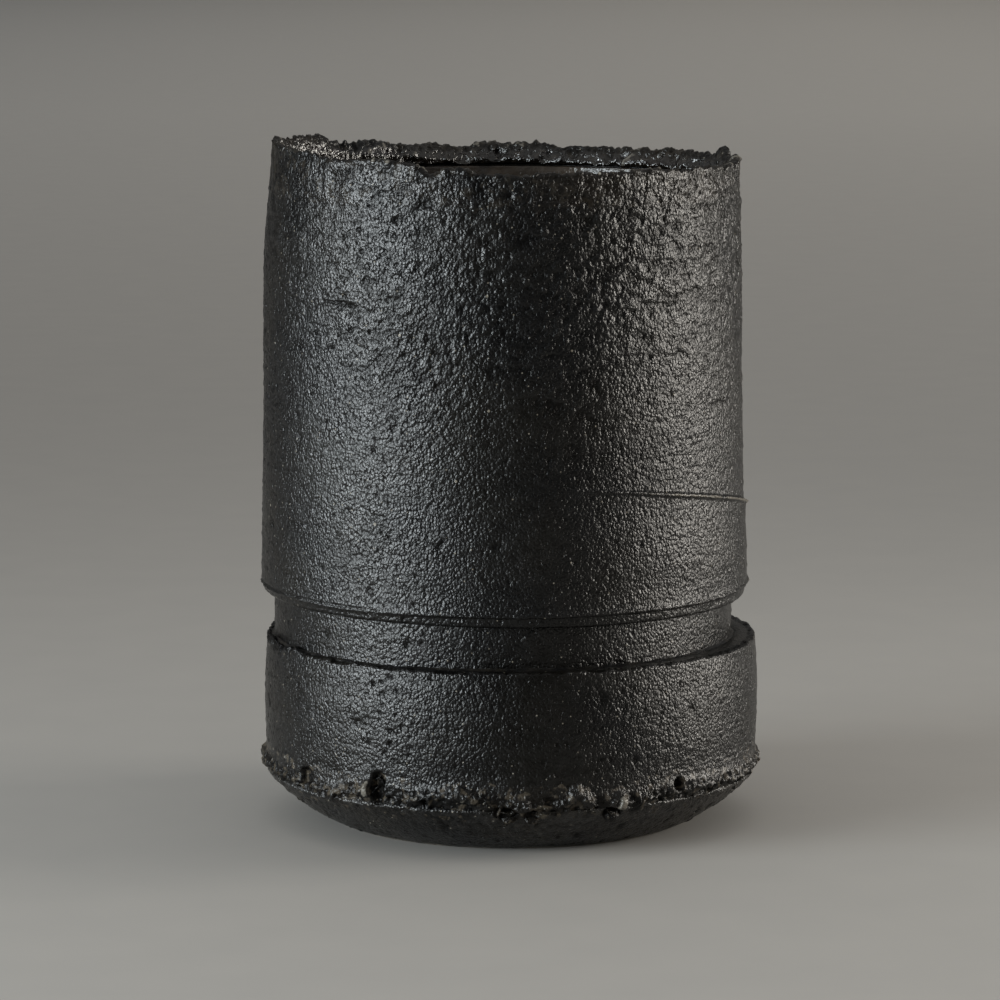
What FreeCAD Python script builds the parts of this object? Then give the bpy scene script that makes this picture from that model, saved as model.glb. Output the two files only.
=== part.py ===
import FreeCAD, Part
import math
import os
import re
import Sketcher

# Stoneware pottery vase. Millimetres, +Z up, origin at the centre of the foot on the table plane.
# The pot is luted together from separate pieces of clay. Foot slab, collar and the torn bead between
# them share the origin's axis. Neck band, body, rim, glaze and every bore stand to one side of it.

document = FreeCAD.newDocument("stoneware_vase")
sheet = document.addObject("Spreadsheet::Sheet", "sizes")

SIZES = [
    ("upper_shift", -2.8, "axis of neck, body, rim and bores, measured from the foot's axis"),
    ("slip_gap", 0.4, "thickness of the joining slip"),
    ("slip_proud", 0.3, "slip standing above the ledge"),
    ("glaze", 0.5, "thickness of the glaze liner"),
    ("glaze_pool", 4, "curve of the glaze pooled in the corner of the floor"),
    ("foot_radius", 59.5, "outer edge of the resting ring"),
    ("foot_ring_width", 9, "width of the resting ring"),
    ("foot_recess", 1.2, "hollow under the foot"),
    ("bevel_radius", 82, "top of the foot's bevel"),
    ("bevel_height", 16.2, "height of the bevel's top edge"),
    ("bevel_curve", 66, "radius of the bulging bevel"),
    ("shelf_height", 17, "top of the foot slab, under the collar"),
    ("floor_radius", 66, "radius of the floor recess"),
    ("floor_height", 10, "inside floor above the table"),
    ("lip_height", 3, "register lip above the shelf"),
    ("bore_radius", 70, "bore of collar and neck band"),
    ("collar_radius", 82, "collar at its top and bottom edges"),
    ("collar_curve", 200, "radius of the collar's slight belly"),
    ("collar_round", 0.6, "rounding of the collar's top edge"),
    ("ledge_height", 61.8, "top of the collar"),
    ("socket_depth", 8, "socket in the collar for the neck band"),
    ("seam_radius", 79.2, "inner wall of the seam that the bead fills"),
    ("seam_height", 22, "top of the seam that the bead fills"),
    ("bead_radius", 83.8, "waist of the torn bead"),
    ("bead_lump", 2.5, "radius of the bead's two rounded halves"),
    ("bead_lap", 1.4, "how far the bead laps over slab and collar"),
    ("bead_edge", 0.6, "thickness of the bead at its lapping edges"),
    ("tear_width", 5, "width of a tear in the bead"),
    ("neck_radius", 76.8, "outside of the neck band"),
    ("neck_top", 84, "top of the neck band, inside the body"),
    ("skirt_radius", 81, "body above its lip"),
    ("skirt_foot", 75.5, "lowest edge of the body"),
    ("undercut_width", 3.2, "chamfer under the skirt"),
    ("undercut_height", 3.0, "height of that chamfer"),
    ("skirt_round", 1.3, "rounding of the skirt's lip"),
    ("shoulder_height", 150, "where the body starts to draw in"),
    ("shoulder_radius", 79.8, "body radius at the shoulder"),
    ("shoulder_curve", 1500, "radius of the body's upper curve"),
    ("mouth_radius", 78.5, "outside of the body at the top"),
    ("wall_bore", 73.5, "inside of the body"),
    ("wall_top", 213.6, "top of the body wall"),
    ("rim_height", 220, "ordinary height of the rim"),
    ("rim_rise", 6.6, "extra height of the rim at its high side"),
    ("rim_outer", 78.3, "outside of the rim coil"),
    ("rim_inner", 72.2, "inside of the rim coil, overhanging the bore"),
    ("rim_crown", 2.2, "height of the rim's rounded top"),
]

for row, (alias, value, meaning) in enumerate(SIZES, start=1):
    sheet.set(f"A{row}", meaning)
    sheet.set(f"B{row}", str(value))
    sheet.setAlias(f"B{row}", alias)
document.recompute()

HIGH_SIDE = math.radians(185)        # direction of the rim's highest point, from +X
RISE_SHARPNESS = 4                   # a higher power makes the high side narrower
RIM_SECTIONS = 32
RIM_WAVES = ((5, 0.4, 0), (9, 0.3, 1))   # waves round the rim: how many, height, where they start
TEAR_DIRECTIONS = (18, 81, 118, 149, 213, 237, 272, 296, 328)   # degrees from +X
ON_AXIS = "0"


def sheet_terms(expression):
    """Write each alias in an expression as a cell of the sheet."""
    return re.sub(r"[a-z]\w*", lambda word: "sizes." + word.group(), expression)


def size(expression):
    """The present value of an expression of aliases."""
    return float(sheet.evalExpression(sheet_terms(expression)))


def bind(thing, path, expression):
    thing.setExpression(path, sheet_terms(expression))


# ---- sketches and features ------------------------------------------------------------------------

def new_body(name):
    body = document.addObject("PartDesign::Body", name)
    body.Label = name
    return body


def new_sketch(body, name, role, across="0", up="0"):
    """An empty sketch on one of the body's own origin planes, moved in its plane and along its normal."""
    sketch = body.newObject("Sketcher::SketchObject", name)
    plane = next(feature for feature in body.Origin.OriginFeatures if feature.Role == role)
    sketch.AttachmentSupport = [(plane, "")]
    sketch.MapMode = "FlatFace"
    bind(sketch, "AttachmentOffset.Base.x", across)
    bind(sketch, "AttachmentOffset.Base.z", up)
    return sketch


def curved_edge(start, end, radius):
    """An arc from start to end, bulging out of a counter-clockwise outline, or into it if negative."""
    chord = end - start
    left = FreeCAD.Vector(-chord.y, chord.x, 0).normalize()
    reach = math.sqrt(radius ** 2 - (chord.Length / 2) ** 2) * math.copysign(1, radius)
    centre = (start + end) / 2 + left * reach
    first, last = (start, end) if radius > 0 else (end, start)
    angles = [math.atan2(point.y - centre.y, point.x - centre.x) for point in (first, last)]
    circle = Part.Circle(centre, FreeCAD.Vector(0, 0, 1), abs(radius))
    return Part.ArcOfCircle(circle, *angles)


def draw_outline(sketch, corners):
    """A closed outline. A corner is (across, up), with a third value where the next edge is an arc."""
    points = [FreeCAD.Vector(size(corner[0]), size(corner[1]), 0) for corner in corners]
    ends = []
    for index, corner in enumerate(corners):
        start, end = points[index], points[(index + 1) % len(points)]
        if len(corner) == 2:
            edge = sketch.addGeometry(Part.LineSegment(start, end))
            ends.append((edge, 1, 2))
            continue
        radius = size(corner[2])
        edge = sketch.addGeometry(curved_edge(start, end, radius))
        ends.append((edge, 1, 2) if radius > 0 else (edge, 2, 1))
        fixed = sketch.addConstraint(Sketcher.Constraint("Radius", edge, abs(radius)))
        bind(sketch, f"Constraints[{fixed}]", corner[2].lstrip("-"))
    for index, (edge, first, _) in enumerate(ends):
        previous, _, last = ends[index - 1]
        sketch.addConstraint(Sketcher.Constraint("Coincident", previous, last, edge, first))
        for kind, axis, value in (("DistanceX", -2, corners[index][0]), ("DistanceY", -1, corners[index][1])):
            if value == ON_AXIS:
                sketch.addConstraint(Sketcher.Constraint("PointOnObject", edge, first, axis))
                continue
            fixed = sketch.addConstraint(Sketcher.Constraint(kind, -1, 1, edge, first, size(value)))
            bind(sketch, f"Constraints[{fixed}]", value)


def draw_circle(sketch, radius):
    circle = Part.Circle(FreeCAD.Vector(), FreeCAD.Vector(0, 0, 1), size(radius))
    edge = sketch.addGeometry(circle)
    sketch.addConstraint(Sketcher.Constraint("Coincident", edge, 3, -1, 1))
    fixed = sketch.addConstraint(Sketcher.Constraint("Radius", edge, size(radius)))
    bind(sketch, f"Constraints[{fixed}]", radius)


def turned(body, name, corners):
    """Turn an outline of (radius, height) corners about the body's vertical axis."""
    sketch = new_sketch(body, name + "_outline", "XZ_Plane")
    draw_outline(sketch, corners)
    feature = body.newObject("PartDesign::Revolution", name)
    feature.Profile = sketch
    feature.ReferenceAxis = (sketch, ["V_Axis"])
    feature.Angle = 360
    sketch.Visibility = False
    document.recompute()
    return feature


def bored(body, name, radius, top, depth):
    """Bore a round hole on the upper axis, down from a height."""
    before = body.Shape.Volume
    sketch = new_sketch(body, name + "_circle", "XY_Plane", "upper_shift", top)
    draw_circle(sketch, radius)
    feature = body.newObject("PartDesign::Pocket", name)
    feature.Profile = sketch
    bind(feature, "Length", depth)
    document.recompute()
    if not body.Shape.Volume < before:
        raise RuntimeError(f"{name} cuts nothing")
    return feature


def raised_ring(body, name, inner, outer, bottom, height):
    """Raise a round lip on the upper axis."""
    sketch = new_sketch(body, name + "_circles", "XY_Plane", "upper_shift", bottom)
    draw_circle(sketch, outer)
    draw_circle(sketch, inner)
    feature = body.newObject("PartDesign::Pad", name)
    feature.Profile = sketch
    bind(feature, "Length", height)
    document.recompute()
    return feature


def disc(name, radius, bottom, top, across="upper_shift"):
    """A plain cylinder between two heights, for the straight rings."""
    cylinder = document.addObject("Part::Cylinder", name)
    bind(cylinder, "Radius", radius)
    bind(cylinder, "Height", f"({top}) - ({bottom})")
    bind(cylinder, "Placement.Base.z", bottom)
    bind(cylinder, "Placement.Base.x", across)
    return cylinder


def joined(name, pieces):
    fuse = document.addObject("Part::MultiFuse", name)
    fuse.Shapes = pieces
    return fuse


def cut(name, base, tool):
    result = document.addObject("Part::Cut", name)
    result.Base = base
    result.Tool = tool
    result.Label = name
    return result


# ---- clay pieces ----------------------------------------------------------------------------------

def foot_disc():
    """Slab with a bulging bevel underneath, a resting ring, a register lip and a recessed floor."""
    body = new_body("foot_disc")
    turned(body, "slab", [
        (ON_AXIS, "foot_recess"),
        ("foot_radius - foot_ring_width - foot_recess", "foot_recess"),
        ("foot_radius - foot_ring_width", "0"),
        ("foot_radius", "0", "bevel_curve"),
        ("bevel_radius", "bevel_height"),
        ("bevel_radius", "shelf_height"),
        (ON_AXIS, "shelf_height"),
    ])
    raised_ring(body, "register_lip", "floor_radius", "bore_radius - slip_gap", "shelf_height", "lip_height")
    bored(body, "floor_recess", "floor_radius", "shelf_height", "shelf_height - floor_height")
    return body


def base_collar():
    """Wide ring wall. Its bore and its socket stand to one side, so the ledge is wider on the right."""
    body = new_body("base_collar")
    turned(body, "ring", [
        (ON_AXIS, "shelf_height + slip_gap"),
        ("seam_radius", "shelf_height + slip_gap"),
        ("seam_radius", "seam_height"),
        ("collar_radius", "seam_height", "collar_curve"),
        ("collar_radius", "ledge_height - collar_round", "collar_round"),
        ("collar_radius - collar_round", "ledge_height"),
        (ON_AXIS, "ledge_height"),
    ])
    bored(body, "bore", "bore_radius", "ledge_height", "ledge_height - shelf_height")
    bored(body, "socket", "neck_radius + slip_gap", "ledge_height", "socket_depth")
    return body


def torn_foot_bead():
    """Bead of clay squeezed out of the seam, torn through in places."""
    body = new_body("bead_ring")
    turned(body, "bead", [
        ("seam_radius", "shelf_height"),
        ("bevel_radius", "shelf_height"),
        ("bevel_radius", "shelf_height - bead_lap"),
        ("bevel_radius + bead_edge", "shelf_height - bead_lap", "bead_lump"),
        ("bead_radius", "(shelf_height + seam_height) / 2", "bead_lump"),
        ("collar_radius + bead_edge", "seam_height + bead_lap"),
        ("collar_radius + bead_edge", "seam_height"),
        ("seam_radius", "seam_height"),
    ])
    tears = []
    for direction in TEAR_DIRECTIONS:
        tear = document.addObject("Part::Box", f"tear_{direction}")
        bind(tear, "Length", "bead_radius")
        bind(tear, "Width", "tear_width")
        bind(tear, "Height", "seam_height")
        rotation = FreeCAD.Rotation(FreeCAD.Vector(0, 0, 1), direction)
        corner = FreeCAD.Vector(size("bevel_radius + bead_edge"), -size("tear_width") / 2, 0)
        place = rotation.multVec(corner) + FreeCAD.Vector(0, 0, size("shelf_height - bead_lap * 2"))
        tear.Placement = FreeCAD.Placement(place, rotation)
        tears.append(tear)
    return cut("torn_foot_bead", body, joined("tears", tears))


def neck_band():
    """Plain tube, its foot in the collar's socket and its top inside the body's skirt."""
    bottom = "ledge_height - socket_depth + slip_gap"
    outside = disc("neck_outside", "neck_radius", bottom, "neck_top")
    inside = disc("neck_inside", "bore_radius", bottom, "neck_top")
    return cut("neck_band", outside, inside)


def body_wall():
    """Tall cylinder with an undercut skirt, counterbored for the neck band."""
    body = new_body("body_wall")
    turned(body, "wall", [
        ("neck_radius + slip_gap", "skirt_foot"),
        ("neck_radius + slip_gap + undercut_width", "skirt_foot + undercut_height", "skirt_round"),
        ("skirt_radius", "skirt_foot + undercut_height + skirt_round"),
        ("shoulder_radius", "shoulder_height", "shoulder_curve"),
        ("mouth_radius", "wall_top"),
        ("wall_bore", "wall_top"),
        ("wall_bore", "neck_top + slip_gap"),
        ("neck_radius + slip_gap", "neck_top + slip_gap"),
    ])
    bind(body, "Placement.Base.x", "upper_shift")
    return body


def rim_top(angle):
    """Height of the rim in a direction, with one broad high side and a slight waver."""
    rise = ((1 + math.cos(angle - HIGH_SIDE)) / 2) ** RISE_SHARPNESS
    waver = sum(height * math.sin(count * angle + start) for count, height, start in RIM_WAVES)
    return size("rim_height") + size("rim_rise") * rise + waver


def rim_section(angle):
    """The rim coil cut through in one direction: flat underneath, straight sides, round on top."""
    outward = FreeCAD.Vector(math.cos(angle), math.sin(angle), 0)
    bottom = size("wall_top + slip_gap")
    top = rim_top(angle)
    inner, outer = size("rim_inner"), size("rim_outer")
    places = [(inner, bottom), (outer, bottom), (outer, top - size("rim_crown")),
              ((inner + outer) / 2, top), (inner, top - size("rim_crown"))]
    points = [outward * radius + FreeCAD.Vector(0, 0, height) for radius, height in places]
    base = Part.makeLine(points[0], points[1])
    outside = Part.makeLine(points[1], points[2])
    crown = Part.Arc(points[2], points[3], points[4]).toShape()
    inside = Part.makeLine(points[4], points[0])
    return Part.Wire([base, outside, crown, inside])


def torn_rim():
    """Coil round the mouth, drawn through sections whose height changes round the pot."""
    sections = [rim_section(2 * math.pi * step / RIM_SECTIONS) for step in range(RIM_SECTIONS)]
    rim = document.addObject("Part::Feature", "torn_rim")
    rim.Shape = Part.makeLoft(sections, True, False, True)
    rim.Placement = FreeCAD.Placement(FreeCAD.Vector(size("upper_shift"), 0, 0), FreeCAD.Rotation())
    return rim


# ---- glaze and slip -------------------------------------------------------------------------------

def glaze_liner():
    """Glaze over the floor and up every inside wall, to just under the rim."""
    body = new_body("glaze_liner")
    lip_top = "shelf_height + lip_height"
    turned(body, "liner", [
        (ON_AXIS, "floor_height"),
        ("floor_radius", "floor_height"),
        ("floor_radius", lip_top),
        ("bore_radius", lip_top),
        ("bore_radius", "neck_top"),
        ("wall_bore", "neck_top"),
        ("wall_bore", "wall_top"),
        ("wall_bore - glaze", "wall_top"),
        ("wall_bore - glaze", "neck_top + glaze"),
        ("bore_radius - glaze", "neck_top + glaze"),
        ("bore_radius - glaze", lip_top + " + glaze"),
        ("floor_radius - glaze", lip_top + " + glaze"),
        ("floor_radius - glaze", "floor_height + glaze + glaze_pool", "-glaze_pool"),
        ("floor_radius - glaze - glaze_pool", "floor_height + glaze"),
        (ON_AXIS, "floor_height + glaze"),
    ])
    bind(body, "Placement.Base.x", "upper_shift")
    return body


def slip_foot_joint():
    """Flat ring of slip on the slab's shelf, turned up round the register lip."""
    lip_top = "shelf_height + lip_height"
    flat = disc("foot_slip_flat", "seam_radius", "shelf_height", "shelf_height + slip_gap", "0")
    upright = disc("foot_slip_upright", "bore_radius", "shelf_height", lip_top)
    lip = disc("foot_slip_inside", "bore_radius - slip_gap", "shelf_height", lip_top)
    return cut("slip_foot_joint", joined("foot_slip", [flat, upright]), lip)


def slip_collar_joint():
    """Cup of slip between the neck band and the collar's socket, a little proud of the ledge."""
    bottom = "ledge_height - socket_depth"
    top = "ledge_height + slip_proud"
    outside = disc("collar_slip_outside", "neck_radius + slip_gap", bottom, top)
    neck = disc("collar_slip_neck", "neck_radius", bottom + " + slip_gap", top)
    bore = disc("collar_slip_bore", "bore_radius", bottom, top)
    return cut("slip_collar_joint", outside, joined("collar_slip_inside", [neck, bore]))


def slip_skirt_joint():
    """Cap of slip over the top of the neck band, inside the body's skirt."""
    outside = disc("skirt_slip_outside", "neck_radius + slip_gap", "skirt_foot", "neck_top + slip_gap")
    neck = disc("skirt_slip_neck", "neck_radius", "skirt_foot", "neck_top")
    bore = disc("skirt_slip_bore", "wall_bore", "skirt_foot", "neck_top + slip_gap")
    return cut("slip_skirt_joint", outside, joined("skirt_slip_inside", [neck, bore]))


def slip_rim_joint():
    """Flat ring of slip between the body wall and the rim coil."""
    outside = disc("rim_slip_outside", "rim_outer", "wall_top", "wall_top + slip_gap")
    bore = disc("rim_slip_bore", "wall_bore", "wall_top", "wall_top + slip_gap")
    return cut("slip_rim_joint", outside, bore)


# ---- build, check, write --------------------------------------------------------------------------

nodes = [
    foot_disc(), base_collar(), torn_foot_bead(), neck_band(), body_wall(), torn_rim(), glaze_liner(),
    slip_foot_joint(), slip_collar_joint(), slip_skirt_joint(), slip_rim_joint(),
]
document.recompute()

for thing in document.Objects:
    if {"Invalid", "Error"} & set(thing.State):
        raise RuntimeError(f"{thing.Name} did not compute: {thing.State}")
for node in nodes:
    if node.Shape.isNull() or not node.Shape.isValid() or not node.Shape.Solids:
        raise RuntimeError(f"{node.Label} has no valid solid")

os.makedirs("parts", exist_ok=True)
for node in nodes:
    node.Shape.exportStep(f"parts/{node.Label}.step")
    print(f"{node.Label}: {len(node.Shape.Solids)} solid, {node.Shape.Volume / 1000:.1f} cm3")
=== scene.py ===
import math

import bpy
import numpy as np
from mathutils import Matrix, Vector


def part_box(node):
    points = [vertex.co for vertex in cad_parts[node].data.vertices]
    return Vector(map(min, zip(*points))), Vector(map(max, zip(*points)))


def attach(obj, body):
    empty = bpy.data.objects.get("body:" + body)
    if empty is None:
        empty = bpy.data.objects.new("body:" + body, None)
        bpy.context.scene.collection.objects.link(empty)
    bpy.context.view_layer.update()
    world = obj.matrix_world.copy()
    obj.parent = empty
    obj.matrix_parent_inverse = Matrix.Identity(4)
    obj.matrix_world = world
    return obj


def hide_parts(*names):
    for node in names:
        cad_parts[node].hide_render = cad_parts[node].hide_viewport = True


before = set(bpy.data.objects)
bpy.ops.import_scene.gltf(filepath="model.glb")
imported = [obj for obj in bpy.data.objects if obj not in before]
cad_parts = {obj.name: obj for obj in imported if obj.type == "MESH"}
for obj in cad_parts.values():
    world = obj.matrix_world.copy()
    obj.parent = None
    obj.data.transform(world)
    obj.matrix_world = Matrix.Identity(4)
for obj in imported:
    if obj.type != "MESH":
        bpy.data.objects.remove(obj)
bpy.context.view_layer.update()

# Everything below is worked out in millimetres and turned into metres when a mesh is made.
METRES = 0.001
TURN = 2 * math.pi

# ---- sizes taken from the frame ----


def node_box(node):
    low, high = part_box(node)
    return np.array(low) / METRES, np.array(high) / METRES


neck_low, neck_high = node_box("neck_band")
body_low, body_high = node_box("body_wall")
collar_high = node_box("base_collar")[1]
foot_high = node_box("foot_disc")[1]
bead_low, bead_high = node_box("torn_foot_bead")
liner_low = node_box("glaze_liner")[0]
rim_low, rim_high = node_box("torn_rim")

UPPER_AXIS = (neck_low[0] + neck_high[0]) / 2  # neck, body, rim and liner stand on this x
BASE_AXIS = 0.0  # foot, collar and bead stand on the origin
NECK_RADIUS = (neck_high[0] - neck_low[0]) / 2
LEDGE = collar_high[2]
SKIRT_FOOT = body_low[2]
WALL_TOP = body_high[2]
SEAM_MIDDLE = (bead_low[2] + bead_high[2]) / 2

FRONT = math.radians(270)  # the camera stands on this side
ROUGH_SIDE = math.radians(325)  # the clay is most torn on this side
GRAIN_STEP = 0.5  # mesh spacing on the rough outside


# ---- noise ----


def lattice(rng):
    """A function that gives each lattice point a random number from 0 to 255."""
    order = np.concatenate([rng.permutation(256)] * 2)

    def pick(spot):
        x, y, z = (spot[..., axis].astype(int) & 255 for axis in range(3))
        return order[order[order[x] + y] + z]
    return pick


def noise(points, wavelength, seed):
    """Smooth 3-D gradient noise, about -1 to 1, with one random direction per lattice point."""
    rng = np.random.default_rng(seed)
    pick = lattice(rng)
    slopes = rng.normal(size=(256, 3))
    slopes /= np.linalg.norm(slopes, axis=1)[:, None]
    place = points / wavelength
    cell = np.floor(place)
    inside = place - cell
    fade = inside ** 3 * (inside * (inside * 6 - 15) + 10)
    total = np.zeros(points.shape[:-1])
    for corner in np.ndindex(2, 2, 2):
        slope = slopes[pick(cell + corner)]
        share = np.prod(np.where(corner, fade, 1 - fade), axis=-1)
        total += share * np.sum(slope * (inside - corner), axis=-1)
    return total * 1.6


def granules(points, cell, seed):
    """Rounded grains packed side by side: 1 at the top of a grain, falling to creases between grains."""
    rng = np.random.default_rng(seed)
    pick = lattice(rng)
    offsets = rng.random((256, 3))
    place = points / cell
    home = np.floor(place)
    nearest = np.full(points.shape[:-1], 9.0)
    for corner in np.ndindex(3, 3, 3):
        spot = home + corner - 1
        gap = spot + offsets[pick(spot)] - place
        nearest = np.minimum(nearest, np.sum(gap * gap, axis=-1))
    return np.clip(1 - nearest, 0, 1)


def spots(around, up, cells_around, cell, share, seed):
    """Round spots scattered one to a cell over a wrapped surface: 1 at a spot's centre, 0 outside it."""
    rng = np.random.default_rng(seed)
    rows = int(np.ceil((up.max() - up.min()) / cell)) + 4
    table = rng.random((cells_around, rows, 4))
    column = np.floor(around * cells_around)
    row = np.floor((up - up.min()) / cell) + 1
    result = np.zeros(around.shape)
    for side in (-1, 0, 1):
        for rise in (-1, 0, 1):
            pick = table[(column + side).astype(int) % cells_around, (row + rise).astype(int)]
            across = (column + side + pick[..., 0] - around * cells_around) * cell
            along = (row + rise - 1 + pick[..., 1]) * cell - (up - up.min())
            size = cell * (0.18 + 0.3 * pick[..., 3])
            height = np.clip(1 - (across ** 2 + along ** 2) / size ** 2, 0, 1) ** 2
            result = np.maximum(result, np.where(pick[..., 2] < share, height, 0))
    return result


def bump(value, centre, width):
    """A smooth hill, 1 at centre."""
    return np.exp(-((value - centre) / width) ** 2)


def turn_from(angle, centre):
    """The turn from centre to angle, between -pi and pi."""
    return (angle - centre + math.pi) % TURN - math.pi


def facing(angle, centre, width):
    """1 in the direction of centre, falling off smoothly to both sides. All three are in radians."""
    return bump(turn_from(angle, centre), 0, width)


def step_up(value, start, end):
    """0 below start, 1 above end, and a smooth step between them."""
    t = np.clip((value - start) / (end - start), 0, 1)
    return t * t * (3 - 2 * t)


def radius_of(points, axis=BASE_AXIS):
    return np.hypot(points[..., 0] - axis, points[..., 1])


def ring(angle, radius):
    """Points on a ring, for noise that joins up round the pot."""
    return np.stack([np.cos(angle), np.sin(angle), 0 * angle], -1) * radius


def on_rough_side(angle):
    """1 in the direction of the roughest clay, 0 opposite it."""
    return 0.5 + 0.5 * np.cos(angle - ROUGH_SIDE)


# ---- outlines read from the CAD nodes ----

SLICE = math.radians(89.7)  # the section plane, square to the sideways shift of the upper axis


def corners(mesh):
    """A mesh's vertices, in millimetres."""
    return np.array([vertex.co for vertex in mesh.vertices]) / METRES


def cad_section(node, axis):
    """The CAD node cut by a half plane: a list of (radius, height) corners, up the outside first."""
    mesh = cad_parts[node].data
    mesh.calc_loop_triangles()
    points = corners(mesh) - (axis, 0, 0)
    side = points[:, 1] * math.cos(SLICE) - points[:, 0] * math.sin(SLICE)
    reach = points[:, 0] * math.cos(SLICE) + points[:, 1] * math.sin(SLICE)
    links = {}
    for triangle in mesh.loop_triangles:
        ends = []
        for a, b in zip(triangle.vertices, np.roll(triangle.vertices, 1)):
            if (side[a] > 0) == (side[b] > 0):
                continue
            share = side[a] / (side[a] - side[b])
            radius = reach[a] + share * (reach[b] - reach[a])
            height = points[a, 2] + share * (points[b, 2] - points[a, 2])
            ends.append((round(radius, 2), round(height, 2)))
        if len(ends) == 2 and ends[0] != ends[1] and ends[0][0] > 0 and ends[1][0] > 0:
            links.setdefault(ends[0], set()).add(ends[1])
            links.setdefault(ends[1], set()).add(ends[0])
    return chain(links)


def chain(links):
    """Order linked points into one line, from a loose end if there is one."""
    loose = [point for point, others in links.items() if len(others) == 1]
    start = min(loose or links, key=lambda point: (point[1], point[0]))
    line, seen = [start], {start}
    while True:
        onward = [point for point in links[line[-1]] if point not in seen]
        if not onward:
            break
        if len(line) == 1:
            onward.sort(key=lambda point: -point[0])
        line.append(onward[0])
        seen.add(onward[0])
    return np.array(line)


def spaced(line, closed, fine):
    """Space a section's points for a mesh: close together where fine() says, a few long steps elsewhere."""
    if closed:
        line = np.vstack([line, line[:1]])
    kept = [line[0]]
    for before, point, after in zip(line, line[1:], line[2:]):
        into, out = point - before, after - point
        straight = np.dot(into, out) > 0.9 * np.linalg.norm(into) * np.linalg.norm(out)
        if not straight or np.linalg.norm(point - kept[-1]) > 0.8 * GRAIN_STEP:
            kept.append(point)
    kept.append(line[-1])
    result = []
    for start, end in zip(kept, kept[1:]):
        step = GRAIN_STEP if fine(*(start + end) / 2) else HIDDEN_STEP
        count = max(1, round(np.linalg.norm(end - start) / step))
        result += [start + (end - start) * n / count for n in range(count)]
    if not closed:
        result.append(kept[-1])
    return np.array(result)


HIDDEN_STEP = 15  # mesh spacing inside the joints
BUDGET = 1


def grid_normals(points, closed):
    along = np.roll(points, -1, 1) - np.roll(points, 1, 1)
    if closed:
        across = np.roll(points, -1, 0) - np.roll(points, 1, 0)
    else:
        across = np.gradient(points, axis=0)
    normal = np.cross(along, across)
    return normal / np.maximum(np.linalg.norm(normal, axis=-1, keepdims=True), 1e-9)


def grid_mesh(name, points, closed):
    """A mesh from a grid of rings. An open grid starts and ends near the axis, where each end is closed."""
    rows, columns = points.shape[:2]
    index = np.arange(rows * columns).reshape(rows, columns)
    below, above = (index, np.roll(index, -1, 0)) if closed else (index[:-1], index[1:])
    quads = np.stack([below, np.roll(below, -1, 1), np.roll(above, -1, 1), above], -1).reshape(-1, 4)
    faces = quads.tolist()
    vertices = points.reshape(-1, 3).tolist()
    if not closed:
        for end, turn in ((index[0], -1), (index[-1], 1)):
            centre = len(vertices)
            vertices.append(points.reshape(-1, 3)[end].mean(0).tolist())
            for a, b in zip(end, np.roll(end, -1)):
                faces.append([int(a), int(b), centre][::turn])
    mesh = bpy.data.meshes.new(name)
    mesh.from_pydata((np.array(vertices) * METRES).tolist(), [], faces)
    mesh.validate()
    mesh.shade_smooth()
    piece = bpy.data.objects.new(name, mesh)
    bpy.context.scene.collection.objects.link(piece)
    return piece


def store(piece, name, values):
    """Keep one number per vertex, for the materials to read."""
    piece.data.attributes.new(name, "FLOAT", "POINT").data.foreach_set("value", values.astype(np.float32))


def lathe(name, stations, columns, relief, closed=True, shape=None):
    """Turn stations (axis x, radius, height, roughness) into a mesh and push its surface out by relief.
    shape, if given, first moves the smooth points."""
    columns = columns // BUDGET
    axis, radius, height, weight = stations.T
    angle = np.arange(columns) * TURN / columns
    points = np.stack([axis[:, None] + radius[:, None] * np.cos(angle),
                       radius[:, None] * np.sin(angle),
                       np.repeat(height[:, None], columns, 1)], -1)
    angle = np.broadcast_to(angle, points.shape[:2])
    if shape:
        points = shape(points, angle)
    push = np.zeros(angle.shape)
    live = weight > 0
    if live.any():
        push[live] = relief(points[live], angle[live]) * weight[live, None]
    normals = grid_normals(points, closed)
    points = points + normals * push[..., None]
    piece = grid_mesh(name, points, closed)
    shade = np.zeros(len(piece.data.vertices))
    shade[:push.size] = push.ravel()
    store(piece, "push", shade)
    return piece


def with_axis(line, axis, weight):
    """Stations from (radius, height) points. Axis and roughness are numbers or functions, and true is 1."""
    rows = []
    for radius, height in line:
        x = axis(radius, height) if callable(axis) else axis
        w = weight(radius, height) if callable(weight) else weight
        rows.append((x, radius, height, w))
    return np.array(rows)


# ---- surface of the clay ----

# Each pair of radii is the start and the end of a change from a piece's inside to its outside.
RIM_SAG = (73, 75)
DRAW_IN = (74, 76)
RIM_GLAZE = (74.2, 75.6)
WALL_BULGE = (77, 79)
RIM_FACE = (77.2, 78.0)
COLLAR_FACE = (78, 81)
COLLAR_CORNER = (79.5, 81.5)
LEDGE_OUT = 82.5  # radius where the ledge's rough top ends

GROG = 1.7  # size of the grains that the grog raises
GROG_HEIGHT = 0.40
LEAN = 0.005  # the bumps lean with the turning of the wheel, radians per millimetre


def grog(points):
    """Close, leaning grains of coarse grog under the glaze."""
    lean = LEAN * points[..., 2]
    x = points[..., 0] * np.cos(lean) + points[..., 1] * np.sin(lean)
    y = points[..., 1] * np.cos(lean) - points[..., 0] * np.sin(lean)
    place = np.stack([x, y, points[..., 2] / 1.35], -1)
    place = place + 0.5 * np.stack([noise(place, 2.5, seed) for seed in (3, 4, 5)], -1)
    grain = granules(place, GROG, 11) + 0.35 * noise(place, GROG * 2.1, 12) - 0.75
    strength = 0.9 + 0.5 * noise(points, 30, 14) + 0.3 * noise(points, 11, 15)
    strength *= 0.43 + 0.48 * step_up(points[..., 2], SKIRT_FOOT + 15, WALL_TOP - 35)
    return GROG_HEIGHT * grain * strength


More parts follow.
